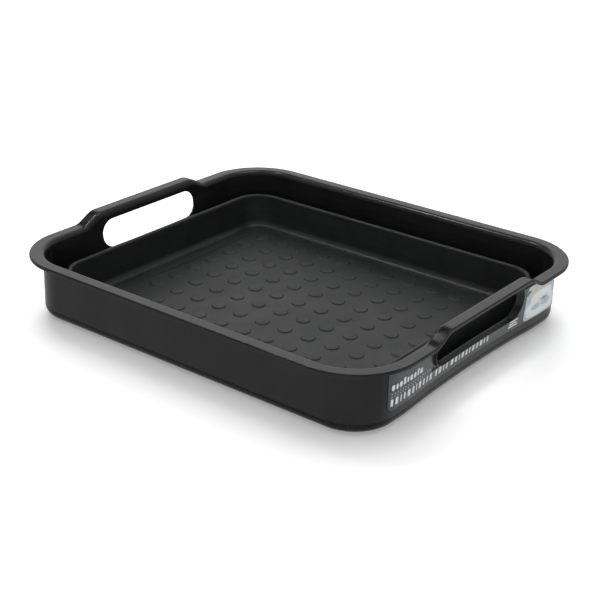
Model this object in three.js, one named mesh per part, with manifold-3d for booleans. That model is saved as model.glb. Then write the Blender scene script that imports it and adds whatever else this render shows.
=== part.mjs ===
// Collapsible wash basin, folded flat. Millimetres, +Z up, origin on the floor under the middle of the base.
// X runs along the long side, Y along the short side, and the two handles stand over the short sides.
import * as THREE from "three";
import { mergeGeometries, mergeVertices } from "three/addons/utils/BufferGeometryUtils.js";
import Module from "manifold-3d";

const wasm = await Module();
wasm.setup();

// ---- Driving dimensions ----
const RIM_HALF_X = 194; // outer edge of the flange
const RIM_HALF_Y = 165.3;
const RIM_TOP = 56.8;
const RIM_CORNER = 56;
const FLANGE = 13.8; // from the flange's outer edge to the wall's inner face
const FLANGE_SHEET = 2.2;
const LIP_DEPTH = 3.2;
const LIP_SHEET = 1.7;
const ROLL_RADIUS = 5; // the rounded run from the flange down into the basin
const WALL = 2.5;
const WALL_FOOT = 9.6; // lowest edge of the rigid wall
const DRAFT = Math.tan(THREE.MathUtils.degToRad(2.5));
const FOOT_CORNER = 36; // corner radius of the wall's outer face at its lowest edge

const HANDLE_RISE = 8.8;
const HANDLE_FLAT = 58; // half length of the straight bar
const HANDLE_FOOT = 82; // where the S-curve has run out into the flange
const SLOT_HALF = 62.5;
const SLOT_LOW = 29.5;
const SLOT_HIGH = 57.5;
const SLOT_CORNER = 13;
const COLLAR_SHEET = 3;
const COLLAR_PROUD = 3; // how far the collar stands out of the wall

const BOW = 3.6; // the short walls are drawn in by this much at mid length
const BOW_HALF = 96;
const BOW_FULL_BELOW = 18;
const BOW_ENDS = 54;

const BAND_PROUD = 0.5;
const BAND_LOW = 1;
const BAND_ROUND = 8.1;
const BAND_SHEET = 2.6;

const RIDGE_HALF_X = 161.5; // crest of the fold
const RIDGE_HALF_Y = 132.7;
const RIDGE_TOP = 39.4;
const RIDGE_CORNER = 25;
const RIDGE_RADIUS = 2.4;
const SOFT_SHEET = 2.1;
const LEG_FOOT = 4.2; // lowest edge of the outer leg

const FLOOR_HALF_X = 139.6; // the line round the floor where the soft wall starts
const FLOOR_HALF_Y = 113.6;
const FLOOR_CORNER = 12;
const FLOOR_TOP = 8.2;
const MAT_SHEET = 1.3;
const PLATE_SHEET = 2.8;
const FOOT_RING = 4; // width of the ring that the base stands on
const FOOT_RING_INSET = 7;
const FOOT_RING_CORNER = 8.7;
const FILLET = 7; // at the foot of the inner leg
const COVE_HALF_X = 156.4; // inner face of the inner leg, just over its fillet
const COVE_HALF_Y = 127.8;
const COVE_CORNER = 21;

const DOT_PITCH = 24.8;
const DOT_COLUMNS = 11;
const DOT_ROWS = 9;
const DOT_RADIUS = 6.4;
const DOT_HEIGHT = 0.9;

const LABEL_SHEET = 0.3;
const GAP = 0.3; // between pieces that touch

// ---- Solids ----
const CORNER_STEPS = 8;
const SIDE_REACH = 98; // the straight run of a short side that the handle and the bow lie in
const MIDDLE_STEPS = 6;
const CURVE_STEPS = 6;
const CUT_FROM = 150; // a cut through one short side starts and ends here
const CUT_TO = 210;
const BITE = 0.5; // how far a shape reaches into the one it joins

// A closed three.js geometry as a manifold solid.
function solid(geometry) {
  const bare = new THREE.BufferGeometry().setAttribute("position", geometry.getAttribute("position"));
  if (geometry.index) bare.setIndex(geometry.index);
  const merged = mergeVertices(bare, 1e-4);
  return new wasm.Manifold(
    new wasm.Mesh({
      numProp: 3,
      vertProperties: merged.attributes.position.array,
      triVerts: new Uint32Array(merged.index.array),
    }),
  );
}

// Places along a short side: its two ends, the S-curves beside the handle, and the bar between them.
function sideStations() {
  const half = [SIDE_REACH];
  for (let i = 0; i <= CURVE_STEPS; i++) {
    half.push(THREE.MathUtils.lerp(HANDLE_FOOT, HANDLE_FLAT, i / CURVE_STEPS));
  }
  const middle = [];
  for (let i = 1; i < MIDDLE_STEPS; i++) {
    middle.push(THREE.MathUtils.lerp(-HANDLE_FLAT, HANDLE_FLAT, i / MIDDLE_STEPS));
  }
  return [...half.map((y) => -y), ...middle, ...half.reverse()];
}
const SIDE_STATIONS = sideStations();

function geometryOf(manifold) {
  const mesh = manifold.getMesh();
  return new THREE.BufferGeometry()
    .setAttribute("position", new THREE.BufferAttribute(new Float32Array(mesh.vertProperties), 3))
    .setIndex(new THREE.BufferAttribute(new Uint32Array(mesh.triVerts), 1));
}

function smoothstep(value, from, to) {
  return THREE.MathUtils.smoothstep(value, Math.min(from, to), Math.max(from, to));
}

// How far the short walls are drawn in at a height, at mid length.
function bowAt(z) {
  return BOW * (1 - smoothstep(z, BOW_FULL_BELOW, BOW_ENDS));
}

// How far the rim is lifted at a place along the short side.
function liftAt(y) {
  return HANDLE_RISE * (1 - smoothstep(Math.abs(y), HANDLE_FLAT, HANDLE_FOOT));
}

// One rounded rectangle of a loft: a row of points, anticlockwise seen from above.
function outlinePoints({ halfX, halfY, corner, z, bow = 0, lift = 0 }) {
  const points = [];
  const side = (sign) => {
    for (const station of SIDE_STATIONS) {
      const y = sign * station;
      const drawnIn = bow * Math.max(0, 1 - (y / BOW_HALF) ** 2);
      points.push(new THREE.Vector3(sign * (halfX - drawnIn), y, z + lift * liftAt(y)));
    }
  };
  const cornerArc = (signX, signY, startAngle) => {
    for (let i = 0; i <= CORNER_STEPS; i++) {
      const angle = startAngle + (i / CORNER_STEPS) * (Math.PI / 2);
      points.push(
        new THREE.Vector3(
          signX * (halfX - corner) + corner * Math.cos(angle),
          signY * (halfY - corner) + corner * Math.sin(angle),
          z,
        ),
      );
    }
  };
  side(1);
  cornerArc(1, 1, 0);
  cornerArc(-1, 1, Math.PI / 2);
  side(-1);
  cornerArc(-1, -1, Math.PI);
  cornerArc(1, -1, (3 * Math.PI) / 2);
  return points;
}

// A closed ring whose rows go once round its section, up the outside and down the inside.
function ringGeometry(rows) {
  const loops = rows.map(outlinePoints);
  const across = loops[0].length;
  const positions = loops.flat().flatMap((point) => point.toArray());
  const index = [];
  for (let row = 0; row < loops.length; row++) {
    const next = (row + 1) % loops.length;
    for (let i = 0; i < across; i++) {
      const j = (i + 1) % across;
      index.push(row * across + i, row * across + j, next * across + j);
      index.push(row * across + i, next * across + j, next * across + i);
    }
  }
  return new THREE.BufferGeometry()
    .setAttribute("position", new THREE.Float32BufferAttribute(positions, 3))
    .setIndex(index);
}

// A flat rounded rectangle, extruded upwards.
function roundedShape(halfX, halfY, corner) {
  const shape = new THREE.Shape();
  shape.moveTo(halfX, corner - halfY);
  shape.lineTo(halfX, halfY - corner);
  shape.absarc(halfX - corner, halfY - corner, corner, 0, Math.PI / 2);
  shape.absarc(corner - halfX, halfY - corner, corner, Math.PI / 2, Math.PI);
  shape.absarc(corner - halfX, corner - halfY, corner, Math.PI, 1.5 * Math.PI);
  shape.absarc(halfX - corner, corner - halfY, corner, 1.5 * Math.PI, 2 * Math.PI);
  return shape;
}

function slab(halfX, halfY, corner, low, high) {
  return new THREE.ExtrudeGeometry(roundedShape(halfX, halfY, corner), {
    depth: high - low,
    bevelEnabled: false,
    curveSegments: CORNER_STEPS,
  }).translate(0, 0, low);
}

// A prism that runs along X between two planes, its outline drawn in Y and Z.
function prismAlongX(shape, fromX, toX) {
  const geometry = new THREE.ExtrudeGeometry(shape, {
    depth: toX - fromX,
    bevelEnabled: false,
    curveSegments: CORNER_STEPS,
  });
  geometry.rotateX(Math.PI / 2).rotateZ(Math.PI / 2);
  return geometry.translate(fromX, 0, 0);
}

// The two ends in x of a prism that cuts through one short side.
function cutAcross(shape, sign) {
  const ends = [sign * CUT_FROM, sign * CUT_TO].sort((a, b) => a - b);
  return solid(prismAlongX(shape, ...ends));
}

// The slot's outline, grown by a margin: y across, z up.
function slotShape(margin) {
  const shape = roundedShape(SLOT_HALF + margin, (SLOT_HIGH - SLOT_LOW) / 2 + margin, SLOT_CORNER + margin);
  const middle = (SLOT_HIGH + SLOT_LOW) / 2;
  return new THREE.Shape(shape.getPoints(CORNER_STEPS).map((p) => new THREE.Vector2(p.x, p.y + middle)));
}

// ---- The rigid rim, walls and handles ----
const RIM_UNDER = RIM_TOP - FLANGE_SHEET;
const ROLL_FOOT = RIM_TOP - ROLL_RADIUS;

// The wall's outer face at a height, moved outwards by a distance.
function wallRow(z, out = 0, lift = 0) {
  const inset = FLANGE - WALL + (ROLL_FOOT - z) * DRAFT;
  const topCorner = RIM_CORNER - (FLANGE - WALL);
  const corner = THREE.MathUtils.mapLinear(z, WALL_FOOT, ROLL_FOOT, FOOT_CORNER, topCorner);
  return {
    halfX: RIM_HALF_X - inset + out,
    halfY: RIM_HALF_Y - inset + out,
    corner: corner + out,
    z,
    bow: bowAt(z),
    lift,
  };
}

// A row of the flange: inset from its outer edge, at a height.
function flangeRow(inset, z) {
  return {
    halfX: RIM_HALF_X - inset,
    halfY: RIM_HALF_Y - inset,
    corner: RIM_CORNER - inset,
    z,
    lift: 1,
  };
}

const WALL_HEIGHTS = [WALL_FOOT, 18, 27, 36, 45];

function rimShellSolid() {
  const outer = WALL_HEIGHTS.map((z) => wallRow(z, 0));
  const inner = WALL_HEIGHTS.map((z) => wallRow(z, -WALL)).reverse();
  const roll = [];
  const ROLL_STEPS = 5;
  for (let i = 0; i <= ROLL_STEPS; i++) {
    const angle = (i / ROLL_STEPS) * (Math.PI / 2);
    const inset = FLANGE - ROLL_RADIUS + ROLL_RADIUS * Math.sin(angle);
    roll.push(flangeRow(inset, ROLL_FOOT + ROLL_RADIUS * Math.cos(angle)));
  }
  const rows = [
    ...outer,
    wallRow(ROLL_FOOT, 0, 1),
    flangeRow(FLANGE - WALL - 1, RIM_UNDER),
    flangeRow(LIP_SHEET, RIM_UNDER),
    flangeRow(LIP_SHEET, RIM_TOP - LIP_DEPTH),
    flangeRow(0, RIM_TOP - LIP_DEPTH),
    flangeRow(0, RIM_TOP - 1),
    flangeRow(1, RIM_TOP),
    ...roll,
    ...inner,
  ];
  let shell = solid(ringGeometry(rows));
  const collarZone = solid(
    ringGeometry([
      ...WALL_HEIGHTS.map((z) => wallRow(z, COLLAR_PROUD)),
      wallRow(ROLL_FOOT, COLLAR_PROUD, 1),
      flangeRow(FLANGE - WALL - COLLAR_PROUD, RIM_UNDER + BITE),
      flangeRow(FLANGE - WALL + BITE, RIM_UNDER + BITE),
      wallRow(ROLL_FOOT, -BITE, 1),
      ...WALL_HEIGHTS.map((z) => wallRow(z, -BITE)).reverse(),
    ]),
  );
  for (const sign of [1, -1]) {
    const collar = collarZone.intersect(cutAcross(slotShape(COLLAR_SHEET), sign));
    shell = shell.add(collar).subtract(cutAcross(slotShape(0), sign));
  }
  return shell;
}

// ---- The soft band round the foot of the wall ----
const BAND_TOP = WALL_FOOT - GAP;

function bandGeometry() {
  const face = wallRow(BAND_TOP, BAND_PROUD);
  const height = BAND_TOP - BAND_LOW;
  const STEPS = 5;
  const curve = (thickness) => {
    const rows = [];
    for (let i = 0; i <= STEPS; i++) {
      const angle = (i / STEPS) * (Math.PI / 2);
      const out = (BAND_ROUND - thickness) * Math.cos(angle) - BAND_ROUND;
      rows.push({
        halfX: face.halfX + out,
        halfY: face.halfY + out,
        corner: face.corner + out,
        z: BAND_TOP - (height - thickness) * Math.sin(angle),
        bow: BOW,
      });
    }
    return rows;
  };
  return ringGeometry([...curve(0).reverse(), ...curve(BAND_SHEET)]);
}

// ---- The folding soft wall ----
function mixRow(from, to, share, z, inwards = 0) {
  const mix = (key) => THREE.MathUtils.lerp(from[key], to[key], share) - inwards;
  return {
    halfX: mix("halfX"),
    halfY: mix("halfY"),
    corner: mix("corner"),
    z,
    bow: THREE.MathUtils.lerp(from.bow, to.bow, share),
  };
}

const RIDGE = { halfX: RIDGE_HALF_X, halfY: RIDGE_HALF_Y, corner: RIDGE_CORNER, bow: 0 };
const LEG_TOP = RIDGE_TOP - RIDGE_RADIUS;

// A row moved inwards by a distance, at a height.
function insetRow(row, inwards, z) {
  return mixRow(row, row, 0, z, inwards);
}

// The outer leg stands between the crest and the band's lower edge, clear of both, so that it can rise past them.
function outerLegGeometry() {
  const STEPS = 3;
  const top = LEG_TOP - GAP;
  const head = insetRow(RIDGE, -(RIDGE_RADIUS + GAP + SOFT_SHEET), top);
  const feet = insetRow(wallRow(BAND_TOP, BAND_PROUD), BAND_ROUND + GAP, LEG_FOOT);
  const face = (inwards) => {
    const rows = [];
    for (let i = 0; i <= STEPS; i++) {
      const share = i / STEPS;
      rows.push(mixRow(feet, head, share, THREE.MathUtils.lerp(LEG_FOOT, top, share), inwards));
    }
    return rows;
  };
  return ringGeometry([...face(0), ...face(SOFT_SHEET).reverse()]);
}

// The inner leg: the flat run outside the floor, the fillet, the leaning wall and the crest of the fold.
function innerLegGeometry() {
  const floor = { halfX: FLOOR_HALF_X, halfY: FLOOR_HALF_Y, corner: FLOOR_CORNER, bow: 0 };
  const cove = { halfX: COVE_HALF_X, halfY: COVE_HALF_Y, corner: COVE_CORNER, bow: 0 };
  const under = FLOOR_TOP - SOFT_SHEET;
  const fillet = (radius) => {
    const rows = [];
    const STEPS = 4;
    for (let i = 0; i <= STEPS; i++) {
      const angle = (i / STEPS) * (Math.PI / 2);
      const inwards = FILLET - radius * Math.sin(angle);
      rows.push(insetRow(cove, inwards, FLOOR_TOP + FILLET - radius * Math.cos(angle)));
    }
    return rows;
  };
  const crest = [];
  const CREST_STEPS = 4;
  for (let i = 0; i <= CREST_STEPS; i++) {
    const angle = (i / CREST_STEPS) * Math.PI;
    crest.push(insetRow(RIDGE, -RIDGE_RADIUS * Math.cos(angle), LEG_TOP + RIDGE_RADIUS * Math.sin(angle)));
  }
  return ringGeometry([
    insetRow(floor, 0, under),
    ...fillet(FILLET + SOFT_SHEET),
    insetRow(RIDGE, RIDGE_RADIUS - SOFT_SHEET, LEG_TOP),
    ...crest,
    ...fillet(FILLET).reverse(),
    insetRow(floor, 0, FLOOR_TOP),
  ]);
}

// ---- The base ----
function plateSolid() {
  const edge = FLOOR_HALF_X - GAP;
  const edgeY = FLOOR_HALF_Y - GAP;
  const corner = FLOOR_CORNER - GAP;
  const top = FLOOR_TOP - MAT_SHEET - GAP;
  const bottom = top - PLATE_SHEET;
  const plate = solid(slab(edge, edgeY, corner, bottom, top));
  const outline = [edge - FOOT_RING_INSET, edgeY - FOOT_RING_INSET, FOOT_RING_CORNER];
  const hollowOutline = outline.map((size) => size - FOOT_RING);
  const ring = solid(slab(...outline, 0, bottom + BITE));
  const hollow = solid(slab(...hollowOutline, -BITE, bottom + 2 * BITE));
  return plate.add(ring.subtract(hollow));
}

function matSolid() {
  const low = FLOOR_TOP - MAT_SHEET;
  const sheet = solid(slab(FLOOR_HALF_X - GAP, FLOOR_HALF_Y - GAP, FLOOR_CORNER - GAP, low, FLOOR_TOP));
  const dots = [];
  for (let column = 0; column < DOT_COLUMNS; column++) {
    for (let row = 0; row < DOT_ROWS; row++) {
      const dot = new THREE.CylinderGeometry(DOT_RADIUS, DOT_RADIUS, DOT_HEIGHT + BITE, CORNER_STEPS);
      dot.rotateX(Math.PI / 2);
      dot.translate(
        (column - (DOT_COLUMNS - 1) / 2) * DOT_PITCH,
        (row - (DOT_ROWS - 1) / 2) * DOT_PITCH,
        FLOOR_TOP + (DOT_HEIGHT - BITE) / 2,
      );
      dots.push(dot.deleteAttribute("normal").deleteAttribute("uv"));
    }
  }
  return sheet.add(solid(mergeGeometries(dots)));
}

// ---- The product label, a film on the wall under the +X handle ----
const LABEL_LOW = 16.5;
const LABEL_HIGH = 50.5;
const LABEL_START = -123.5;
const LABEL_END = 131;
const LABEL_CORNER = 5;
const LABEL_CUT = 100; // the label reaches round the corner to here

function labelSolid() {
  const film = solid(
    ringGeometry([
      ...WALL_HEIGHTS.map((z) => wallRow(z, GAP + LABEL_SHEET)),
      wallRow(ROLL_FOOT, GAP + LABEL_SHEET, 1),
      wallRow(ROLL_FOOT, GAP, 1),
      ...WALL_HEIGHTS.map((z) => wallRow(z, GAP)).reverse(),
    ]),
  );
  const middleY = (LABEL_START + LABEL_END) / 2;
  const middleZ = (LABEL_LOW + LABEL_HIGH) / 2;
  const outline = roundedShape((LABEL_END - LABEL_START) / 2, (LABEL_HIGH - LABEL_LOW) / 2, LABEL_CORNER);
  const points = outline.getPoints(4).map((p) => new THREE.Vector2(p.x + middleY, p.y + middleZ));
  const sheet = film.intersect(solid(prismAlongX(new THREE.Shape(points), LABEL_CUT, CUT_TO)));
  const clear = COLLAR_SHEET + GAP;
  const opening = new THREE.Shape([
    new THREE.Vector2(-SLOT_HALF - clear, SLOT_LOW - clear),
    new THREE.Vector2(SLOT_HALF + clear, SLOT_LOW - clear),
    new THREE.Vector2(SLOT_HALF + clear, RIM_TOP),
    new THREE.Vector2(-SLOT_HALF - clear, RIM_TOP),
  ]);
  return sheet.subtract(cutAcross(opening, 1));
}

// ---- Materials and the assembly ----
const glossyPlastic = new THREE.MeshStandardMaterial({ color: 0x2a2b2b, roughness: 0.22, metalness: 0 });
const softRubber = new THREE.MeshStandardMaterial({ color: 0x303232, roughness: 0.6, metalness: 0 });
const floorRubber = new THREE.MeshStandardMaterial({ color: 0x3a3c3d, roughness: 0.65, metalness: 0 });
const platePlastic = new THREE.MeshStandardMaterial({ color: 0x2c2d2d, roughness: 0.4, metalness: 0 });
const film = new THREE.MeshStandardMaterial({ color: 0x5b6066, roughness: 0.3, metalness: 0 });

function named(name, geometry, material) {
  const mesh = new THREE.Mesh(geometry, material);
  mesh.name = name;
  return mesh;
}

const base = new THREE.Group();
base.add(named("floor_plate", geometryOf(plateSolid()), platePlastic));
base.add(named("floor_mat", geometryOf(matSolid()), floorRubber));
base.add(named("soft_wall_inner", innerLegGeometry(), softRubber));

const foldRing = new THREE.Group();
foldRing.add(named("soft_wall_outer", outerLegGeometry(), softRubber));

const rimFrame = new THREE.Group();
rimFrame.add(named("rim_shell", geometryOf(rimShellSolid()), glossyPlastic));
rimFrame.add(named("bottom_band", bandGeometry(), softRubber));
rimFrame.add(named("product_label", geometryOf(labelSolid()), film));

const basin = new THREE.Group();
basin.add(base, foldRing, rimFrame);
export default basin;
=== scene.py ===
"""The looks of the collapsible wash basin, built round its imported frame.

Shapes are worked out in millimetres, in the frame's own axes, and turned into metres when a mesh is made.
"""
import math

import bmesh
import bpy
import numpy as np
from mathutils import Matrix, Vector


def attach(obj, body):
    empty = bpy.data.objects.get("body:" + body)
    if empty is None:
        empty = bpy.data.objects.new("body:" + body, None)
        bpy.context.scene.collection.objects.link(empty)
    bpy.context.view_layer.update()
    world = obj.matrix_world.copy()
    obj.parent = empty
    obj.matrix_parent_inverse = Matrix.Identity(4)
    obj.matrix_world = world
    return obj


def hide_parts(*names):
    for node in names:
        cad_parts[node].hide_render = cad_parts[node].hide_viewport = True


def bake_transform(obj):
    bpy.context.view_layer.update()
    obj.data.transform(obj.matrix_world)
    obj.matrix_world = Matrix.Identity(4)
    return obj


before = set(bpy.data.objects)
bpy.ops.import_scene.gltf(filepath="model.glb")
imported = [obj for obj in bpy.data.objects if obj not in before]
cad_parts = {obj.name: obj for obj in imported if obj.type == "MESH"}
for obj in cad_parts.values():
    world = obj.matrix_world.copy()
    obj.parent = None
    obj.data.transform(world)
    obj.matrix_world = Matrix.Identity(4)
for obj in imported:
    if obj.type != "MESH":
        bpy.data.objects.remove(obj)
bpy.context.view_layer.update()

MM = 0.001

# ---- Dimensions ----
# They are the frame's, but for five that were refined for the looks: FOOT_CORNER, COLLAR_SHEET, BAND_PROUD, BAND_TOP
# and MAT_GAP.
RIM_HALF_X, RIM_HALF_Y = 194.0, 165.3
RIM_TOP, RIM_CORNER = 56.8, 56.0
FLANGE, FLANGE_SHEET = 13.8, 2.2
LIP_DEPTH, LIP_SHEET = 3.2, 1.7
ROLL_RADIUS = 5.0
WALL, WALL_FOOT = 2.5, 9.6
DRAFT = math.tan(math.radians(2.5))
FOOT_CORNER = 37.0
ROLL_FOOT = RIM_TOP - ROLL_RADIUS
RIM_UNDER = RIM_TOP - FLANGE_SHEET
LIFT_START = 45.0  # the wall is stretched upwards between here and ROLL_FOOT under each handle

HANDLE_RISE, HANDLE_FLAT, HANDLE_FOOT = 8.8, 58.0, 82.0
SLOT_HALF, SLOT_LOW, SLOT_HIGH, SLOT_CORNER = 62.5, 29.5, 57.5, 13.0
SLOT_FLARE = 2.4  # how much longer each end is at the collar's edge than half way through
COLLAR_SHEET, COLLAR_PROUD = 2.2, 3.0
BOW, BOW_HALF, BOW_FULL_BELOW, BOW_ENDS = 3.6, 96.0, 18.0, 54.0

BAND_PROUD, BAND_LOW, BAND_ROUND, BAND_SHEET = 0.1, 1.0, 8.1, 2.6
BAND_TOP = 9.5
RIDGE_HALF_X, RIDGE_HALF_Y, RIDGE_CORNER = 161.5, 132.7, 25.0
RIDGE_RADIUS, RIDGE_CENTRE = 2.4, 37.0
SOFT_SHEET = 2.1
LEG_FOOT = 4.2
FLOOR_HALF_X, FLOOR_HALF_Y, FLOOR_CORNER, FLOOR_TOP = 139.6, 113.6, 12.0, 8.2
COVE_HALF_X, COVE_HALF_Y, COVE_CORNER, FILLET = 156.4, 127.8, 21.0, 7.0
MAT_SHEET, MAT_GAP = 1.3, 0.1
DOT_PITCH, DOT_COLUMNS, DOT_ROWS = 24.8, 11, 9
DOT_HEIGHT = 0.9
LABEL_LOW, LABEL_HIGH, LABEL_START, LABEL_END = 16.5, 50.5, -123.5, 131.0
LABEL_OUT = 0.6  # the film's face, measured from the wall

# ---- Rows: one rounded rectangle of a loft ----
CORNER_STEPS = 22
LONG_STEPS = 8
SIDE_REACH = 98.0


def smoothstep(value, low, high):
    t = np.clip((np.asarray(value, float) - low) / (high - low), 0, 1)
    return t * t * (3 - 2 * t)


def side_stations():
    """Places along a short side, close together where the handle's S-curves are."""
    curve = np.linspace(HANDLE_FLAT - 2, HANDLE_FOOT + 2, 17)
    middle = np.linspace(-HANDLE_FLAT + 2, HANDLE_FLAT - 2, 19)[1:-1]
    ends = np.array([SIDE_REACH - 7, SIDE_REACH])
    half = np.concatenate([curve, ends])
    return np.concatenate([-half[::-1], middle, half])


STATIONS = side_stations()


def lift_at(y):
    return HANDLE_RISE * (1 - smoothstep(np.abs(y), HANDLE_FLAT, HANDLE_FOOT))


def bow_at(z):
    return BOW * float(1 - smoothstep(z, BOW_FULL_BELOW, BOW_ENDS))


def row(half_x, half_y, corner, z, bow=0.0, lift=0.0):
    return np.array([half_x, half_y, corner, z, bow, lift], float)


def inset(base, inwards, z):
    made = base.copy()
    made[:3] -= inwards
    made[3] = z
    return made


def wall(z, out=0.0, lift=0.0):
    """The rigid wall's outer face at a height, moved outwards."""
    away = FLANGE - WALL + (ROLL_FOOT - z) * DRAFT
    top_corner = RIM_CORNER - (FLANGE - WALL)
    share = (z - WALL_FOOT) / (ROLL_FOOT - WALL_FOOT)
    corner = FOOT_CORNER + (top_corner - FOOT_CORNER) * share
    return row(RIM_HALF_X - away + out, RIM_HALF_Y - away + out, corner + out, z, bow_at(z), lift)


def flange(inwards, z):
    return row(RIM_HALF_X - inwards, RIM_HALF_Y - inwards, RIM_CORNER - inwards, z, 0, 1)


def row_points(r):
    """The points of one row, anticlockwise seen from above."""
    half_x, half_y, corner, z, bow, lift = r
    parts = []
    for sign in (1, -1):
        y = sign * STATIONS
        x = sign * (half_x - bow * np.maximum(0, 1 - (y / BOW_HALF) ** 2))
        parts.append(np.stack([x, y, z + lift * lift_at(y)], 1))
        for k in (0, 1):
            start = math.pi / 2 * (k if sign > 0 else k + 2)
            angle = start + np.linspace(0, math.pi / 2, CORNER_STEPS + 1)
            sx, sy = (sign if k == 0 else -sign), sign
            arc = np.stack(
                [
                    sx * (half_x - corner) + corner * np.cos(angle),
                    sy * (half_y - corner) + corner * np.sin(angle),
                    np.full(len(angle), z),
                ],
                1,
            )
            parts.append(arc)
            if k == 0:  # the long side between this arc and the next
                run = np.linspace(1, -1, LONG_STEPS + 1)[1:-1] * sign * (half_x - corner)
                parts.append(np.stack([run, np.full(len(run), sy * half_y), np.full(len(run), z)], 1))
    return np.concatenate(parts)


def section_length(v):
    """The length of a row's step across the section, from its change in half_x and in z."""
    return math.hypot(v[0], v[3])


def rounded(corners, support=0.35):
    """Rows round a closed section. corners is a list of (row, radius); each corner with a radius becomes an arc."""
    made = []
    count = len(corners)
    for i, (point, radius) in enumerate(corners):
        if radius <= 0:
            made.append(point)
            continue
        before, after = corners[i - 1][0] - point, corners[(i + 1) % count][0] - point
        length_before, length_after = section_length(before), section_length(after)
        cosine = (before[0] * after[0] + before[3] * after[3]) / (length_before * length_after)
        turn = math.pi - math.acos(max(-1.0, min(1.0, cosine)))
        reach = radius * math.tan(turn / 2)
        first = point + before * min(1, reach / length_before)
        last = point + after * min(1, reach / length_after)
        steps = max(3, math.ceil(math.degrees(turn) / 12))
        weight = math.cos(turn / 2)
        if reach + support < 0.7 * length_before:
            made.append(point + before * ((reach + support) / length_before))
        for t in np.linspace(0, 1, steps + 1):
            a, b, c = (1 - t) ** 2, 2 * t * (1 - t) * weight, t * t
            made.append((a * first + b * point + c * last) / (a + b + c))
        if reach + support < 0.7 * length_after:
            made.append(point + after * ((reach + support) / length_after))
    return made


# ---- Meshes ----
def add_object(name, data):
    made = bpy.data.objects.new(name, data)
    bpy.context.scene.collection.objects.link(made)
    return made


def mesh_object(name, points, faces, sharp=None):
    """A Blender mesh from points in millimetres. Edges sharper than sharp degrees stay crisp."""
    mesh = bpy.data.meshes.new(name)
    mesh.from_pydata((np.asarray(points, float) * MM).tolist(), [], [list(map(int, f)) for f in faces])
    mesh.validate()
    mesh.shade_smooth()
    if sharp is not None:
        mesh.set_sharp_from_angle(angle=math.radians(sharp))
    return add_object(name, mesh)


def mesh_from(work, name):
    """A smooth Blender mesh from a bmesh in metres, which is used up."""
    mesh = bpy.data.meshes.new(name)
    work.to_mesh(mesh)
    work.free()
    mesh.shade_smooth()
    mesh.set_sharp_from_angle(angle=math.radians(50))
    return add_object(name, mesh)


def ring_faces(rows, across):
    def at(r, i):
        return (r % rows) * across + i % across

    return [
        (at(r, i), at(r, i + 1), at(r + 1, i + 1), at(r + 1, i))
        for r in range(rows)
        for i in range(across)
    ]


def ring_object(name, rows, sharp=None):
    """A closed ring. The rows go once round its section, up the outside and down the inside."""
    loops = [row_points(r) for r in rows]
    return mesh_object(name, np.concatenate(loops), ring_faces(len(loops), len(loops[0])), sharp)


def combine(target, tool, operation):
    """Joins or cuts target with tool, and removes tool."""
    modifier = target.modifiers.new("combine", "BOOLEAN")
    modifier.operation = operation
    modifier.object = tool
    modifier.solver = "EXACT"
    graph = bpy.context.evaluated_depsgraph_get()
    made = bpy.data.meshes.new_from_object(target.evaluated_get(graph))
    target.modifiers.clear()
    old = target.data
    target.data = made
    bpy.data.meshes.remove(old)
    bpy.data.objects.remove(tool)
    return target


def finish_shading(obj, sharp):
    obj.data.shade_smooth()
    obj.data.set_sharp_from_angle(angle=math.radians(sharp))
    weighted = obj.modifiers.new("even shading", "WEIGHTED_NORMAL")
    weighted.keep_sharp = True
    weighted.weight = 60


# ---- The rigid rim with its two handles ----
WALL_HEIGHTS = [14, 18, 22.5, 27, 31.5, 36, 40.5, LIFT_START]
LIFTED = [(47.3, 1 / 3), (49.5, 2 / 3)]


def rim_rows():
    outer = [(wall(z), 0) for z in WALL_HEIGHTS] + [(wall(z, 0, k), 0) for z, k in LIFTED]
    inner = [(wall(z, -WALL), 0) for z in WALL_HEIGHTS]
    inner += [(wall(z, -WALL, k), 0) for z, k in LIFTED]
    corners = [
        (wall(WALL_FOOT), 0.12),
        *outer,
        (wall(RIM_UNDER, 0, 1), 1.8),
        (flange(LIP_SHEET, RIM_UNDER), 0.5),
        (flange(LIP_SHEET, RIM_TOP - LIP_DEPTH), 0.55),
        (flange(0, RIM_TOP - LIP_DEPTH), 0.6),
        (flange(0, RIM_TOP), 1.0),
        (wall(RIM_TOP, -WALL, 1), ROLL_RADIUS),
        *inner[::-1],
        (wall(WALL_FOOT, -WALL), 0.5),
    ]
    return rounded(corners)


def wall_x(y, z, out=0.0):
    """Where the wall's outer face stands at a place on the +X side, moved outwards."""
    y, z = np.broadcast_arrays(np.asarray(y, float), np.asarray(z, float))
    made = np.empty(y.shape)
    for i in np.ndindex(y.shape):
        stretch = ROLL_FOOT - LIFT_START
        above = max(0.0, z[i] - LIFT_START)
        plain = min(z[i], LIFT_START) + above * stretch / (stretch + float(lift_at(y[i])))
        half_x, half_y, corner, _, bow, _ = wall(plain, out)
        over = abs(y[i]) - (half_y - corner)
        if over > 0:
            made[i] = half_x - corner + math.sqrt(max(0.0, corner**2 - over**2))
        else:
            made[i] = half_x - bow * max(0.0, 1 - (y[i] / BOW_HALF) ** 2)
    return made


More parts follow.
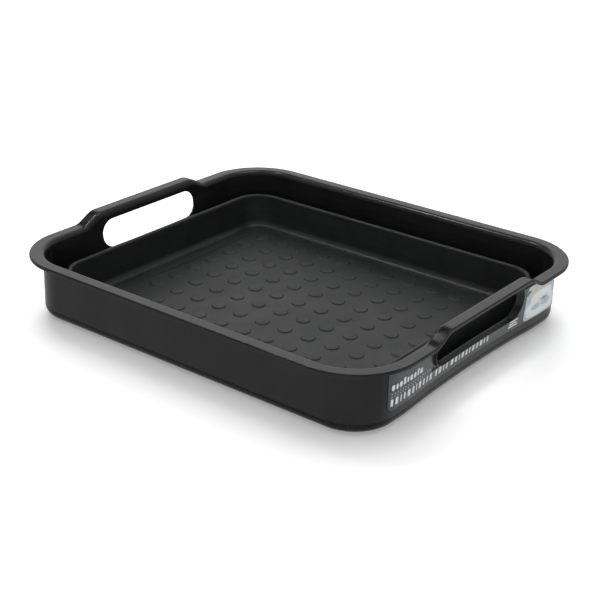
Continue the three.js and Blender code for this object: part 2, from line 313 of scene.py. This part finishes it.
def slot_outline(margin, steps=14, side_steps=26):
    """The slot's outline grown by a margin, as points (y, z) with their outward normals."""
    half_y, half_z = SLOT_HALF, (SLOT_HIGH - SLOT_LOW) / 2
    middle, corner = (SLOT_HIGH + SLOT_LOW) / 2, SLOT_CORNER
    points, normals = [], []
    for quarter in range(4):
        sy = (1, -1, -1, 1)[quarter]
        sz = (1, 1, -1, -1)[quarter]
        centre = np.array([sy * (half_y - corner), middle + sz * (half_z - corner)])
        for t in np.linspace(0, 1, steps + 1):
            angle = (quarter + t) * math.pi / 2
            normal = np.array([math.cos(angle), math.sin(angle)])
            points.append(centre + corner * normal)
            normals.append(normal)
        if quarter in (0, 2):
            start, end = points[-1], points[-1] * [-1, 1]
            for t in np.linspace(0, 1, side_steps + 1)[1:-1]:
                points.append(start + (end - start) * t)
                normals.append(normals[-1])
    points, normals = np.array(points), np.array(normals)
    return points + margin * normals, normals


def slot_cutter(sign, margin):
    outline, _ = slot_outline(margin)
    count = len(outline)
    ends = [150.0, 210.0] if sign > 0 else [-210.0, -150.0]
    points = np.concatenate([np.insert(outline, 0, x, axis=1) for x in ends])
    faces = [(i, (i + 1) % count, count + (i + 1) % count, count + i) for i in range(count)]
    faces = [f[::-1] for f in faces] + [tuple(range(count)), tuple(range(2 * count - 1, count - 1, -1))]
    made = mesh_object("slot_cutter", points, faces)
    outward(made)
    return made


def outward(obj):
    """Turns a closed mesh's faces so that they all point out."""
    work = bmesh.new()
    work.from_mesh(obj.data)
    bmesh.ops.recalc_face_normals(work, faces=work.faces)
    work.to_mesh(obj.data)
    work.free()


def collar(sign):
    """The rounded collar that lines one slot, flared from the wall's inner face to its own outer edge."""
    outline, normals = slot_outline(0)
    at_ends = np.copysign(smoothstep(np.abs(outline[:, 0]), 20, SLOT_HALF - 2), outline[:, 0])
    flare = np.stack([SLOT_FLARE * at_ends, 0.8 * normals[:, 1]], 1)
    round_in, round_out, flush = 0.9, 0.7, 0.02
    section = []  # (distance from the slot's surface, flare, share of the depth, offset in x)
    for a in np.linspace(0, math.pi / 2, 6):
        section.append((round_in * (1 - math.cos(a)), -1, 0, round_in * (1 - math.sin(a)) - flush))
    section.append((COLLAR_SHEET - 1, 1, 0, -flush))
    section.append((COLLAR_SHEET - 1, 1, 0, 0.9))
    for a in np.linspace(0, math.pi / 2, 6):
        section.append((COLLAR_SHEET - 1 - round_out * (1 - math.cos(a)), 1, 1, -round_out * (1 - math.sin(a))))
    for a in np.linspace(0, math.pi / 2, 6):
        section.append((round_out * (1 - math.sin(a)), 1, 1, -round_out * (1 - math.cos(a))))
    section.append((0, 0, 0.5, 0))
    loops = []
    for away, spread, depth, offset in section:
        at = outline + away * normals + spread * flare
        inner, outer = wall_x(at[:, 0], at[:, 1], -WALL), wall_x(at[:, 0], at[:, 1], COLLAR_PROUD)
        x = inner + (outer - inner) * depth + offset
        loops.append(np.stack([sign * x, at[:, 0], at[:, 1]], 1))
    made = mesh_object("slot_collar", np.concatenate(loops), ring_faces(len(loops), len(loops[0])))
    outward(made)
    return made


def build_rim():
    rim = ring_object("rim", rim_rows())
    for sign in (1, -1):
        combine(rim, slot_cutter(sign, COLLAR_SHEET - 0.9), "DIFFERENCE")
        combine(rim, collar(sign), "UNION")
    finish_shading(rim, 38)
    return rim


# ---- The soft band and the folding wall ----
def band_rows():
    face = wall(BAND_TOP, BAND_PROUD)
    face[4] = BOW
    height = BAND_TOP - BAND_LOW
    made = []
    steps = 12
    for thickness, order in ((0.0, reversed(range(steps + 1))), (BAND_SHEET, range(steps + 1))):
        for i in order:
            a = i / steps * math.pi / 2
            out = (BAND_ROUND - thickness) * math.cos(a) - BAND_ROUND
            radius = 0.12 if i in (0, steps) else 0
            made.append((inset(face, -out, BAND_TOP - (height - thickness) * math.sin(a)), radius))
    return rounded(made)


RIDGE = row(RIDGE_HALF_X, RIDGE_HALF_Y, RIDGE_CORNER, 0)


def inner_leg_rows():
    floor = row(FLOOR_HALF_X, FLOOR_HALF_Y, FLOOR_CORNER, 0)
    cove = row(COVE_HALF_X, COVE_HALF_Y, COVE_CORNER, 0)

    def fillet(radius):
        return [
            (inset(cove, FILLET - radius * math.sin(a), FLOOR_TOP + FILLET - radius * math.cos(a)), 0)
            for a in np.linspace(0, math.pi / 2, 10)
        ]

    crest = [
        (inset(RIDGE, -RIDGE_RADIUS * math.cos(a), RIDGE_CENTRE + RIDGE_RADIUS * math.sin(a)), 0)
        for a in np.linspace(0, math.pi, 15)
    ]

    def lean(start, end, t):
        return start[0] + (end[0] - start[0]) * t, 0

    outside, inside = fillet(FILLET + SOFT_SHEET), fillet(FILLET)[::-1]
    foot_out = (inset(RIDGE, RIDGE_RADIUS - SOFT_SHEET, RIDGE_CENTRE), 0)
    return rounded(
        [
            (inset(floor, 0, FLOOR_TOP - SOFT_SHEET), 0),
            *outside,
            *[lean(outside[-1], foot_out, t) for t in (0.25, 0.5, 0.75)],
            foot_out,
            *crest,
            *[lean(crest[-1], inside[0], t) for t in (0.2, 0.4, 0.6, 0.8)],
            *inside,
            (inset(floor, 0.0, FLOOR_TOP), 0.15),
        ]
    )


def outer_leg_rows():
    """The outer leg, from under the crest down to the band's lower edge, with a thin hinge at either end."""
    head = inset(RIDGE, -RIDGE_RADIUS + 0.15, RIDGE_CENTRE)
    feet = inset(wall(BAND_TOP, BAND_PROUD), BAND_ROUND + 0.2, LEG_FOOT)
    feet[4] = BOW
    steps = 26

    def side(inwards):
        made = []
        for t in np.linspace(0, 1, steps + 1):
            at = feet + (head - feet) * t
            thin = 1 - 0.45 * (math.exp(-((t / 0.09) ** 2)) + math.exp(-(((1 - t) / 0.09) ** 2)))
            middle = SOFT_SHEET / 2
            away = middle + (inwards - middle) * thin
            made.append((inset(at, away, at[3]), 0))
        return made

    return rounded([*side(0), *side(SOFT_SHEET)[::-1]])


# ---- The floor and its dots ----
DOT_RINGS = (1.8, 3.6, 4.5, 5.0, 5.3, 5.5, 5.7, 5.85, 5.98, 6.1, 6.25, 6.4, 6.6, 7.0)
DOT_PROFILE = {0: 1, 3.6: 0.98, 5.0: 0.92, 5.5: 0.84, 5.85: 0.7, 6.1: 0.46, 6.25: 0.24, 6.4: 0.08, 6.6: 0}


def dot_height(radius):
    """How far the floor's surface stands up at a distance from a dot's middle."""
    heights = [share * DOT_HEIGHT for share in DOT_PROFILE.values()]
    return float(np.interp(radius, list(DOT_PROFILE), heights))


def mat_object():
    """The floor mat: one square cell for each dot, and a margin out to its rounded edge."""
    work = bmesh.new()
    spokes = 32
    turns = [(math.cos(2 * math.pi * k / spokes), math.sin(2 * math.pi * k / spokes)) for k in range(spokes)]
    half = DOT_PITCH / 2
    for column in range(DOT_COLUMNS):
        for line in range(DOT_ROWS):
            centre_x = (column - (DOT_COLUMNS - 1) / 2) * DOT_PITCH
            centre_y = (line - (DOT_ROWS - 1) / 2) * DOT_PITCH
            loops = []
            for radius in DOT_RINGS:
                height = FLOOR_TOP + dot_height(radius)
                ring = [(centre_x + radius * c, centre_y + radius * s, height) for c, s in turns]
                loops.append([work.verts.new(point) for point in ring])
            square = []
            for c, s in turns:
                reach = half / max(abs(c), abs(s))
                square.append(work.verts.new((centre_x + reach * c, centre_y + reach * s, FLOOR_TOP)))
            loops.append(square)
            middle = work.verts.new((centre_x, centre_y, FLOOR_TOP + DOT_HEIGHT))
            for k in range(spokes):
                work.faces.new((middle, loops[0][k], loops[0][(k + 1) % spokes]))
                for low, high in zip(loops, loops[1:]):
                    n = (k + 1) % spokes
                    work.faces.new((low[k], high[k], high[n], low[n]))
    bmesh.ops.remove_doubles(work, verts=work.verts, dist=1e-3)
    out_x, out_y = FLOOR_HALF_X - MAT_GAP, FLOOR_HALF_Y - MAT_GAP
    corner = FLOOR_CORNER - MAT_GAP

    def clamp(x, y, within):
        """Moves a point that lies past a rounded corner back onto it."""
        cx, cy, radius = out_x - corner, out_y - corner, corner - within
        dx, dy = abs(x) - cx, abs(y) - cy
        if dx > 0 and dy > 0 and math.hypot(dx, dy) > radius:
            k = radius / math.hypot(dx, dy)
            return math.copysign(cx + dx * k, x), math.copysign(cy + dy * k, y)
        return x, y

    grid_x, grid_y = DOT_COLUMNS * half, DOT_ROWS * half
    for v in work.verts:
        v.co.x, v.co.y = clamp(v.co.x, v.co.y, 1.1)
    edges = [e for e in work.edges if e.is_boundary]
    for within, drop in ((0.2, 0.0), (0.06, 0.06), (0.0, 0.2), (0.0, MAT_SHEET)):
        made = bmesh.ops.extrude_edge_only(work, edges=edges)
        edges = [g for g in made["geom"] if isinstance(g, bmesh.types.BMEdge)]
        for v in {v for e in edges for v in e.verts}:
            x, y = v.co.x, v.co.y
            if abs(x) >= grid_x - 1.2:
                x = math.copysign(out_x - within, x)
            if abs(y) >= grid_y - 1.2:
                y = math.copysign(out_y - within, y)
            x, y = clamp(x, y, within)
            v.co = (x, y, FLOOR_TOP - drop)
    bmesh.ops.contextual_create(work, geom=edges)
    bmesh.ops.recalc_face_normals(work, faces=work.faces)
    for v in work.verts:
        v.co *= MM
    return mesh_from(work, "floor_dots")


# ---- The label: a film on the +X wall, and what is printed on it ----
def patch(name, columns, out, sheet, rows=12):
    """A thin sheet that follows the wall. columns is a list of (y, low z, high z)."""
    faces_out, faces_in = [], []
    for y, low, high in columns:
        z = np.linspace(low, high, rows + 1)
        ys = np.full(len(z), y)
        faces_out.append(np.stack([wall_x(ys, z, out), ys, z], 1))
        faces_in.append(np.stack([wall_x(ys, z, out - sheet), ys, z], 1))
    points = np.concatenate([*faces_out, *faces_in])
    across, count = rows + 1, len(columns)
    back = count * across
    faces = []
    for c in range(count - 1):
        for r in range(rows):
            a, b = c * across + r, (c + 1) * across + r
            faces.append((a, b, b + 1, a + 1))
            faces.append((back + a, back + a + 1, back + b + 1, back + b))
        a, b = c * across, (c + 1) * across
        faces.append((a, back + a, back + b, b))
        a, b = a + rows, b + rows
        faces.append((a, b, back + b, back + a))
    for r in range(rows):
        faces.append((r, r + 1, back + r + 1, back + r))
        a = (count - 1) * across + r
        faces.append((a, back + a, back + a + 1, a + 1))
    made = mesh_object(name, points, faces)
    outward(made)
    finish_shading(made, 50)
    return made


def label_columns():
    clear_y, clear_z, corner = SLOT_HALF + COLLAR_SHEET + 0.3, SLOT_LOW - COLLAR_SHEET - 0.3, 5.0
    ys = set(np.linspace(LABEL_START + corner, LABEL_END - corner, 90))
    ys |= {LABEL_START + corner * (1 - math.cos(a)) for a in np.linspace(0, math.pi / 2, 7)}
    ys |= {LABEL_END - corner * (1 - math.cos(a)) for a in np.linspace(0, math.pi / 2, 7)}
    ys |= {s * (clear_y + d) for s in (1, -1) for d in (-0.05, 0.05)}
    made = []
    for y in sorted(ys):
        from_end = min(y - LABEL_START, LABEL_END - y)
        cut = corner - math.sqrt(max(0.0, corner**2 - max(0.0, corner - from_end) ** 2))
        high = clear_z if abs(y) < clear_y else LABEL_HIGH - cut
        made.append((y, LABEL_LOW + cut, high))
    return made


def join(name, objects):
    """One object from several meshes."""
    work = bmesh.new()
    for o in objects:
        work.from_mesh(o.data)
        bpy.data.objects.remove(o)
    return mesh_from(work, name)


PRINT_OUT, PRINT_SHEET = LABEL_OUT + 0.04, 0.1
PRINT_STEP = 0.05  # how much further out each layer of the picture lies


def block(y0, y1, z0, z1, corner=0.5, out=PRINT_OUT):
    """A printed block with rounded ends."""
    corner = min(corner, (y1 - y0) / 2, (z1 - z0) / 2)
    ends = [corner * (1 - math.cos(a)) for a in np.linspace(0, math.pi / 2, 5)]
    middle = list(np.linspace(y0 + corner, y1 - corner, max(2, int((y1 - y0) / 3) + 1)))[1:-1]
    made = []
    for y in [y0 + e for e in ends] + middle + [y1 - e for e in reversed(ends)]:
        from_end = min(y - y0, y1 - y)
        cut = corner - math.sqrt(max(0.0, corner**2 - max(0.0, corner - from_end) ** 2))
        made.append((y, z0 + cut * 0.98, z1 - cut * 0.98))
    return patch("block", made, out, PRINT_SHEET, 3)


def blob(centre_y, centre_z, half_y, half_z, power=2.0, steps=20, out=PRINT_OUT):
    """A printed round or squarish shape."""
    made = []
    for a in np.linspace(0.001, math.pi - 0.001, steps + 1):
        y = -math.cos(a)
        high = (1 - abs(y) ** power) ** (1 / power)
        made.append((centre_y + half_y * y, centre_z - half_z * high - 0.02, centre_z + half_z * high + 0.02))
    return patch("blob", made, out, PRINT_SHEET, 4)


def print_bars():
    """Rows of plain blocks and dots, in place of print."""
    made = []
    y, k = -120.5, 0
    widths = (2.6, 3.4, 1.6, 2.0, 3.6, 2.8, 1.2, 3.2, 2.4, 1.8, 3.0)
    gaps_after = {10: 5.2, 14: 5.2}
    while y < 22:
        width = widths[k % len(widths)]
        made.append(block(y, y + width, 20.0, 26.0, 0.9))
        y += width + gaps_after.get(k, 2.9)
        k += 1
    y = -120
    for k in range(9):
        width = (3.0, 2.2, 3.6)[k % 3]
        made.append(block(y, y + width, 33.0, 37.6 + 1.6 * (k % 4 == 3), 1.2))
        y += width + 1.7
    for line, z in enumerate((30.2, 27.9)):
        for k in range(16 - 3 * line):
            made.append(blob(-119.5 + 3.4 * k, z, 0.5, 0.4, 2, 8))
    for line in range(3):
        made.append(block(52 + line, 66 - 2 * (line % 2), 19.6 + 2.2 * line, 21.0 + 2.2 * line, 0.4))
    return join("print_bars", made)


# ---- Materials ----
class Shader:
    """A node material under construction: its Principled node and short calls for the nodes it needs."""

    def __init__(self, name, roughness, ior=1.5):
        self.material = bpy.data.materials.new(name)
        self.material.use_nodes = True
        self.nodes = self.material.node_tree.nodes
        self.links = self.material.node_tree.links
        self.bsdf = self.nodes["Principled BSDF"]
        self.set(self.bsdf, Roughness=roughness, IOR=ior)
        self.place = self.node("ShaderNodeTexCoord").outputs["Object"]

    @staticmethod
    def set(node, **values):
        for key, value in values.items():
            node.inputs[key.replace("_", " ")].default_value = value
        return node

    def node(self, kind, **values):
        return self.set(self.nodes.new(kind), **values)

    def link(self, source, target):
        self.links.new(source, target)

    def stretched(self, x, y, z):
        """The object's own coordinates, scaled."""
        made = self.nodes.new("ShaderNodeMapping")
        made.inputs["Scale"].default_value = (x, y, z)
        self.link(self.place, made.inputs["Vector"])
        return made.outputs["Vector"]

    def noise(self, scale, detail=4.0, roughness=0.5, place=None):
        made = self.node("ShaderNodeTexNoise", Scale=scale, Detail=detail, Roughness=roughness)
        self.link(place or self.place, made.inputs["Vector"])
        return made.outputs["Fac"]

    def math(self, operation, a, b):
        made = self.nodes.new("ShaderNodeMath")
        made.operation = operation
        for socket, value in zip(made.inputs, (a, b)):
            if isinstance(value, (int, float)):
                socket.default_value = value
            else:
                self.link(value, socket)
        return made.outputs[0]

    def spread(self, source, low, high, from_low=0.3, from_high=0.7):
        made = self.nodes.new("ShaderNodeMapRange")
        self.set(made, From_Min=from_low, From_Max=from_high, To_Min=low, To_Max=high)
        self.link(source, made.inputs["Value"])
        return made.outputs["Result"]

    def colours(self, source, *stops):
        """A colour ramp: stops are (place, red, green, blue)."""
        made = self.nodes.new("ShaderNodeValToRGB")
        ramp = made.color_ramp
        for i, (at, *colour) in enumerate(stops):
            element = ramp.elements[i] if i < 2 else ramp.elements.new(at)
            element.position = at
            element.color = (*colour, 1)
        self.link(source, made.inputs["Fac"])
        return made.outputs["Color"]

    def bump(self, source, strength, distance, under=None):
        made = self.node("ShaderNodeBump", Strength=strength, Distance=distance)
        self.link(source, made.inputs["Height"])
        if under is not None:
            self.link(under, made.inputs["Normal"])
        return made.outputs["Normal"]

    def wear(self, **sockets):
        for key, source in sockets.items():
            self.link(source, self.bsdf.inputs[key.replace("_", " ")])
        return self.material


def rim_material():
    s = Shader("rim plastic", 0.2, 1.5)
    mottle = s.noise(28, 3, 0.5)
    colour = s.colours(mottle, (0.35, 0.0085, 0.0088, 0.0086), (0.65, 0.0115, 0.0118, 0.0115))
    smudge = s.noise(45, 5, 0.6)
    fine = s.noise(900, 2, 0.5)
    rough = s.math("ADD", s.spread(smudge, 0.15, 0.25), s.math("MULTIPLY", fine, 0.05))
    peel = s.bump(s.noise(160, 2, 0.4), 0.25, 0.00004)
    grain = s.bump(fine, 0.12, 0.00001, peel)
    return s.wear(Base_Color=colour, Roughness=rough, Normal=grain)


def rubber_material(name, dark, light, rough, grain_distance, streaks=False, specular=0.5):
    s = Shader(name, rough, 1.45)
    s.set(s.bsdf, Specular_IOR_Level=specular)
    along = s.stretched(3, 3, 170) if streaks else s.stretched(1, 1, 1)
    streak = s.noise(1.6 if streaks else 30, 4, 0.6, along)
    mottle = s.noise(60, 4, 0.6)
    both = s.math("ADD", s.math("MULTIPLY", streak, 0.6), s.math("MULTIPLY", mottle, 0.4))
    colour = s.colours(both, (0.36, *dark), (0.64, *light))
    roughness = s.spread(both, rough - 0.06, rough + 0.1)
    grain = s.noise(1500, 2, 0.6)
    low = s.bump(streak, 0.2 if streaks else 0.08, 0.0001)
    return s.wear(Base_Color=colour, Roughness=roughness, Normal=s.bump(grain, 0.3, grain_distance, low))


def film_material():
    s = Shader("label film", 0.3, 1.5)
    s.set(s.bsdf, Coat_Weight=0.5, Coat_Roughness=0.12)
    mottle = s.noise(35, 3, 0.5)
    colour = s.colours(mottle, (0.35, 0.034, 0.038, 0.042), (0.65, 0.042, 0.047, 0.051))
    ripple = s.bump(s.noise(24, 2, 0.4, s.stretched(1, 1, 0.5)), 0.25, 0.0006)
    return s.wear(Base_Color=colour, Roughness=s.spread(s.noise(200, 3, 0.5), 0.24, 0.38), Normal=ripple)


def ink_material(name, colour):
    s = Shader(name, 0.4, 1.45)
    speck = s.noise(700, 3, 0.6)
    low = [c * 0.86 for c in colour]
    return s.wear(
        Base_Color=s.colours(speck, (0.3, *low), (0.6, *colour)),
        Roughness=s.spread(speck, 0.34, 0.5),
    )


def dress(obj, material):
    obj.data.materials.clear()
    obj.data.materials.append(material)


# ---- Putting it together ----
rim_plastic = rim_material()
wall_rubber = rubber_material(
    "wall rubber", (0.0116, 0.0122, 0.0126), (0.0196, 0.0206, 0.0212), 0.34, 0.00002, streaks=True
)
band_rubber = rubber_material(
    "band rubber", (0.0085, 0.0088, 0.0086), (0.0115, 0.0118, 0.0115), 0.25, 0.00002, specular=0.2
)
floor_rubber = rubber_material("floor rubber", (0.0125, 0.0132, 0.0137), (0.0173, 0.0181, 0.0187), 0.4, 0.00002)
plate_plastic = rubber_material("plate plastic", (0.012, 0.0125, 0.013), (0.018, 0.0185, 0.019), 0.36, 0.00001)

rim = build_rim()
dress(rim, rim_plastic)
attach(rim, "rim_frame")
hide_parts("rim_shell")

band = ring_object("foot_band", band_rows(), 45)
dress(band, band_rubber)
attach(band, "rim_frame")
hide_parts("bottom_band")

inner_leg = ring_object("fold_inner_leg", inner_leg_rows(), 50)
dress(inner_leg, wall_rubber)
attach(inner_leg, "base")
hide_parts("soft_wall_inner")

outer_leg = ring_object("fold_outer_leg", outer_leg_rows(), 50)
dress(outer_leg, wall_rubber)
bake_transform(outer_leg)
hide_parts("soft_wall_outer")

mat = mat_object()
dress(mat, floor_rubber)
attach(mat, "base")
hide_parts("floor_mat")

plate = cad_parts["floor_plate"]
dress(plate, plate_plastic)
plate_edge = plate.modifiers.new("soft edges", "BEVEL")
plate_edge.width, plate_edge.segments = 0.4 * MM, 3
plate_edge.limit_method, plate_edge.angle_limit = "ANGLE", math.radians(50)

film = patch("label_sheet", label_columns(), LABEL_OUT, 0.3)
dress(film, film_material())
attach(film, "rim_frame")
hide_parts("product_label")

white_ink = ink_material("white ink", (0.72, 0.73, 0.74))
bars = print_bars()
dress(bars, white_ink)
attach(bars, "rim_frame")

PICTURE = (
    ("print_panel", (0.5, 0.56, 0.6), [(block, (75, 128, 17.5, 49.5, 4))]),
    ("print_tub", (0.78, 0.79, 0.8), [(blob, (101, 26, 24, 7, 4.0)), (blob, (101, 35, 18, 6, 3.0))]),
    (
        "print_suds",
        (0.42, 0.55, 0.66),
        [(blob, (92, 27, 7, 2.6)), (blob, (108, 27.5, 8, 3)), (blob, (118, 44, 5, 3.2, 3.0))],
    ),
    ("print_sun", (0.72, 0.6, 0.25), [(blob, (84, 43, 3.4, 2.2)), (blob, (92, 44.5, 2.6, 1.8))]),
)
for layer, (name, colour, shapes) in enumerate(PICTURE):
    out = PRINT_OUT + PRINT_STEP * layer
    piece = join(name, [make(*numbers, out=out) for make, numbers in shapes])
    dress(piece, ink_material(name.replace("_", " "), colour))
    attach(piece, "rim_frame")

# ---- Floor, light and camera ----
FLOOR_REACH, BACKDROP_RADIUS, BACKDROP_HEIGHT, BACKDROP_SIDES = 6.0, 5.8, 9.0, 64
floor_mesh = bpy.data.meshes.new("studio_floor")
floor_mesh.from_pydata(
    [(x * FLOOR_REACH, y * FLOOR_REACH, 0) for x, y in ((-1, -1), (1, -1), (1, 1), (-1, 1))], [], [(0, 1, 2, 3)]
)
studio_floor = add_object("studio_floor", floor_mesh)
floor_shader = Shader("studio floor", 0.7)
floor_shader.set(
    floor_shader.bsdf, Base_Color=(0.93, 0.93, 0.93, 1), Specular_IOR_Level=0.2, Emission_Color=(1, 1, 1, 1)
)
# Painted light: the floor glows, weakly within 0.4 m of the middle and more strongly past 0.95 m, so the floor round
# the basin is painted darker as shade.
distance = floor_shader.nodes.new("ShaderNodeVectorMath")
distance.operation = "LENGTH"
floor_shader.link(floor_shader.place, distance.inputs[0])
painted_floor_glow = floor_shader.spread(distance.outputs["Value"], 0.2, 0.75, 0.4, 0.95)  # with the distance from the basin
floor_shader.link(painted_floor_glow, floor_shader.bsdf.inputs["Emission Strength"])
floor_mesh.materials.append(floor_shader.material)
studio_floor.visible_glossy = False

# A white backdrop for views from low down. It neither lights the basin nor shows in it.
backdrop_mesh = bpy.data.meshes.new("studio_backdrop")
turns = [i / BACKDROP_SIDES * 2 * math.pi for i in range(BACKDROP_SIDES)]
backdrop_mesh.from_pydata(
    [
        (BACKDROP_RADIUS * math.cos(t), BACKDROP_RADIUS * math.sin(t), z)
        for z in (-0.01, BACKDROP_HEIGHT)
        for t in turns
    ],
    [],
    [
        (i, (i + 1) % BACKDROP_SIDES, BACKDROP_SIDES + (i + 1) % BACKDROP_SIDES, BACKDROP_SIDES + i)
        for i in range(BACKDROP_SIDES)
    ],
)
backdrop = add_object("studio_backdrop", backdrop_mesh)
backdrop_shader = Shader("studio backdrop", 1)
backdrop_shader.set(backdrop_shader.bsdf, Emission_Color=(1, 1, 1, 1), Emission_Strength=1.0)
backdrop_mesh.materials.append(backdrop_shader.material)
backdrop.visible_diffuse = backdrop.visible_glossy = backdrop.visible_shadow = False


def softbox(name, place, width, height, power, reflected=True):
    """A rectangular soft light that faces the basin and, if it is reflected, shows in its gloss."""
    data = bpy.data.lights.new(name, "AREA")
    data.shape = "RECTANGLE"
    data.size, data.size_y, data.energy = width, height, power
    made = add_object(name, data)
    made.location = place
    made.rotation_euler = Vector(place).to_track_quat("Z", "Y").to_euler()
    made.visible_glossy = reflected


softbox("left softbox", (-0.68, 0.195, 1.4), 0.36, 0.27, 1.3, False)
softbox("key softbox", (-0.72, -0.012, 1.4), 0.2, 0.14, 1.9)
softbox("back softbox", (0.04, 0.38, 1.4), 0.3, 0.45, 1.2)
softbox("ceiling fill", (0, 0, 2), 2.4, 2.4, 22, False)
softbox("back fill", (-1.18, 1.36, 1.26), 2, 1.2, 27, False)
softbox("front fill", (1.1, -1.85, 0.5), 2.6, 0.8, 18, False)

world = bpy.data.worlds.new("studio")
bpy.context.scene.world = world
world.use_nodes = True
sky, sky_links = world.node_tree.nodes, world.node_tree.links
towards = sky.new("ShaderNodeTexCoord").outputs["Generated"]


def glow(azimuth, elevation, start, full, amount):
    """Light from one part of the studio: 0 up to a cosine from its middle, and the whole amount from another."""
    az, el = math.radians(azimuth), math.radians(elevation)
    cosine = sky.new("ShaderNodeVectorMath")
    cosine.operation = "DOT_PRODUCT"
    cosine.inputs[1].default_value = (math.cos(el) * math.cos(az), math.cos(el) * math.sin(az), math.sin(el))
    sky_links.new(towards, cosine.inputs[0])
    edge = sky.new("ShaderNodeMapRange")
    edge.interpolation_type = "SMOOTHSTEP"
    for key, value in (("From Min", start), ("From Max", full), ("To Min", 0), ("To Max", amount)):
        edge.inputs[key].default_value = value
    sky_links.new(cosine.outputs["Value"], edge.inputs["Value"])
    return edge.outputs["Result"]


parts = [
    glow(0, 90, 0, 0.34, 0.25),  # everything above the horizon
    glow(0, 90, 0.9, 1, 0.36),  # the ceiling
    glow(131, 28, -0.06, 1, 0.24),  # the wall behind, to the left
    glow(131, 24, 0.87, 1, 0.42),
    glow(150, 49, 0.945, 0.974, -0.44),  # a dark gap over it
    glow(52, -24, 0.75, 0.95, 0.16),  # the bright side, beyond the label
    glow(0, -90, 0.1, 0.4, 0.37),  # the table, where a reflection looks past the floor
]
light = parts[0]
for part in parts[1:]:
    total = sky.new("ShaderNodeMath")
    sky_links.new(light, total.inputs[0])
    sky_links.new(part, total.inputs[1])
    light = total.outputs[0]
sky_links.new(light, sky["Background"].inputs["Strength"])
sky["Background"].inputs["Color"].default_value = (1, 1, 1, 1)

bpy.context.scene.view_settings.view_transform = "Standard"

AZIMUTH, ELEVATION, ROLL = (math.radians(a) for a in (38.011, 24.3538, 0.9743))
TARGET, DISTANCE = Vector((-14.538, 20.602, 0)) * MM, 1182.12 * MM
forward = Vector(
    (-math.sin(AZIMUTH) * math.cos(ELEVATION), math.cos(AZIMUTH) * math.cos(ELEVATION), -math.sin(ELEVATION))
)
right = Vector((math.cos(AZIMUTH), math.sin(AZIMUTH), 0))
up = right.cross(forward)
turned_right = math.cos(ROLL) * right + math.sin(ROLL) * up
turned_up = math.cos(ROLL) * up - math.sin(ROLL) * right
camera_data = bpy.data.cameras.new("camera")
camera_data.sensor_width = 36
camera_data.lens = 78.977
camera_data.clip_start, camera_data.clip_end = 0.05, 50
camera = add_object("camera", camera_data)
camera.matrix_world = Matrix.Translation(TARGET - forward * DISTANCE) @ Matrix(
    (turned_right, turned_up, -forward)
).transposed().to_4x4()
bpy.context.scene.camera = camera
